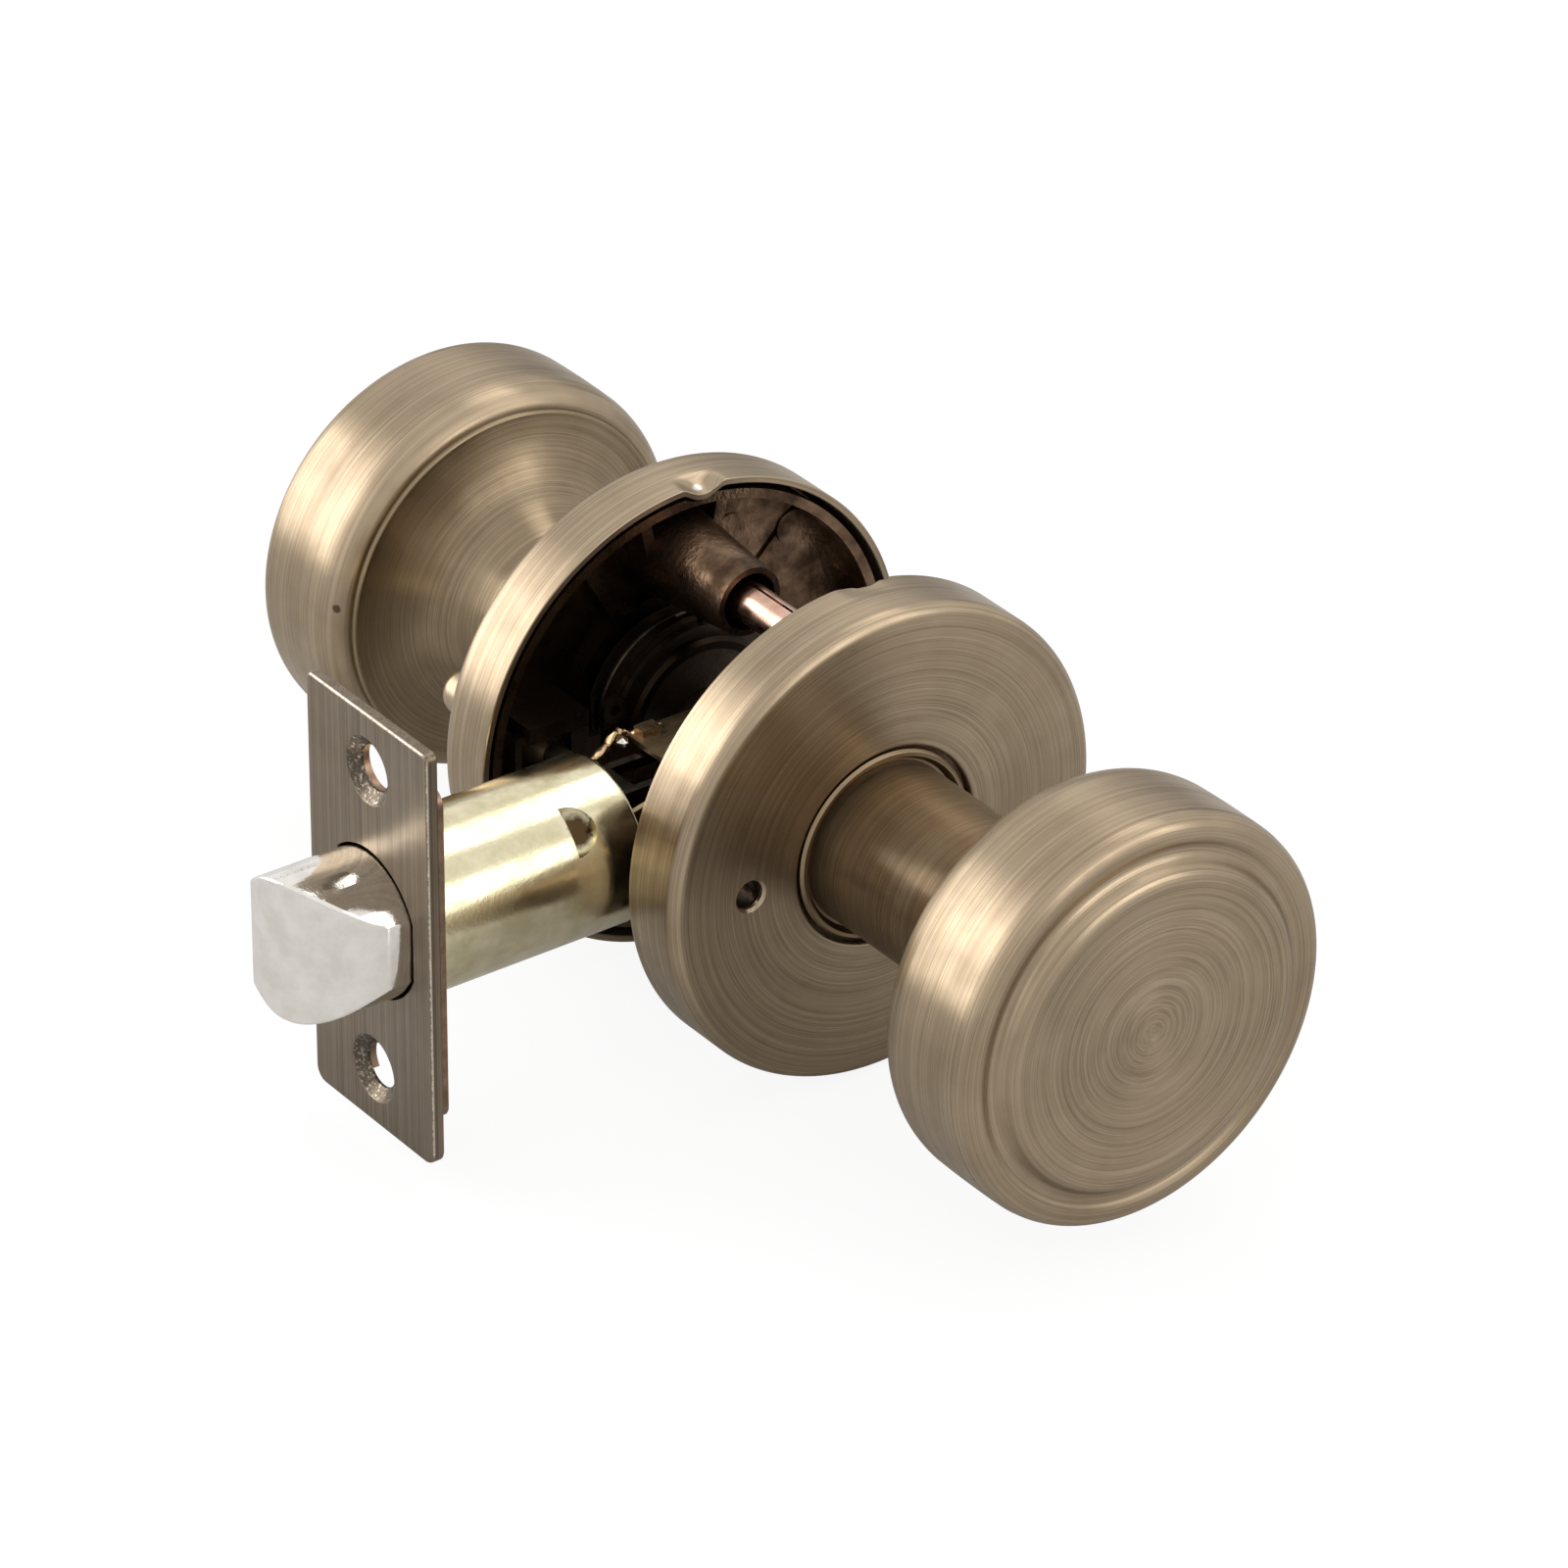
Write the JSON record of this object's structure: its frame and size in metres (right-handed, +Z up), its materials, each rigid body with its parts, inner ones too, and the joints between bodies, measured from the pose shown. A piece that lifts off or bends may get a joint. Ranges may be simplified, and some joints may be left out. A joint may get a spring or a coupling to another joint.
{
  "type": "privacy door knob",
  "caption": "Privacy door knob set: drum knobs on round roses, a tubular spring latch between them, a push button that locks it and a release hole.",
  "frame": {"origin": "where the spindle's axis crosses the latch's axis, at the middle of the door bore", "axes": "+Y along the spindle to the inside knob, -X along the latch to the door's edge, +Z up"},
  "size_m": [0.1048, 0.1517, 0.0636],
  "materials": {
    "antique_brass": "antique brass, brushed in circles, lacquered",
    "bronze_neck": "dark antique brass, satin",
    "faceplate_brass": "antique brass, brushed lengthwise, edges worn bright",
    "cast_zinc": "die cast, plated dark bronze",
    "zinc_yellow": "yellow zinc plated sheet steel",
    "spring_steel": "plain spring wire and strip",
    "nickel": "polished nickel plate",
    "copper_plate": "copper flashed steel"
  },
  "bodies": {
    "lock_body": {"case_cheek_inside": "zinc_yellow", "case_cheek_outside": "zinc_yellow", "case_strap": "zinc_yellow", "inside_bearing_ring": "bronze_neck", "inside_chassis": "cast_zinc", "inside_return_spring": "spring_steel", "inside_rose": "antique_brass", "latch_backing_plate": "copper_plate", "latch_faceplate": "faceplate_brass", "latch_spring": "spring_steel", "latch_tube": "zinc_yellow", "mounting_post_bottom": "copper_plate", "mounting_post_top": "copper_plate", "mounting_screw_bottom": "zinc_yellow", "mounting_screw_top": "zinc_yellow", "outside_bearing_ring": "bronze_neck", "outside_chassis": "cast_zinc", "outside_return_spring": "spring_steel", "outside_rose": "antique_brass", "spring_seat": "zinc_yellow"},
    "outside_knob": {"outside_knob_shell": "antique_brass", "outside_knob_neck": "bronze_neck", "outside_driver_plate": "zinc_yellow", "outside_neck_clip": "spring_steel", "outside_carrier": "cast_zinc", "spindle": "zinc_yellow"},
    "inside_knob": {"inside_knob_shell": "antique_brass", "inside_knob_neck": "bronze_neck", "inside_driver_plate": "zinc_yellow", "inside_neck_clip": "spring_steel", "inside_carrier": "cast_zinc"},
    "cam": {"latch_cam": "copper_plate"},
    "bolt": {"latch_bolt": "nickel", "bolt_pin": "spring_steel", "latch_yoke": "spring_steel"},
    "button": {"privacy_button": "antique_brass"},
    "catch": {"lock_catch": "spring_steel"}
  },
  "joints": [
    {"name": "outside_knob_turn", "type": "hinge", "parent": "lock_body", "child": "outside_knob", "pos_m": [0, 0, 0], "axis": [0, 1, 0], "range_deg": [0, 90], "stiffness_Nm_per_rad": 0.18, "springref_deg": -17.19, "deforming": ["outside_return_spring", "inside_return_spring"]},
    {"name": "inside_knob_turn", "type": "hinge", "parent": "lock_body", "child": "inside_knob", "pos_m": [0, 0, 0], "axis": [0, 1, 0], "range_deg": [0, 90], "stiffness_Nm_per_rad": 0.15, "springref_deg": -17.19},
    {"name": "cam_turn", "type": "hinge", "parent": "lock_body", "child": "cam", "pos_m": [0, 0, 0], "axis": [0, 1, 0], "range_deg": [0, 90]},
    {"name": "bolt_slide", "type": "slide", "parent": "lock_body", "child": "bolt", "axis": [1, 0, 0], "range_m": [0, 0.01224], "deforming": ["latch_spring"]},
    {"name": "button_push", "type": "slide", "parent": "lock_body", "child": "button", "axis": [0, -1, 0], "range_m": [0, 0.0035]},
    {"name": "catch_travel", "type": "slide", "parent": "lock_body", "child": "catch", "axis": [1, 0, 0], "range_m": [0, 0.00181]}
  ],
  "couplings": [
    {"joint": "inside_knob_turn", "follows": "outside_knob_turn", "ratio": 1},
    {"joint": "cam_turn", "follows": "outside_knob_turn", "ratio": 1},
    {"joint": "bolt_slide", "follows": "outside_knob_turn", "m_per_rad": 0.007786},
    {"joint": "catch_travel", "follows": "button_push", "ratio": 0.51429}
  ]
}
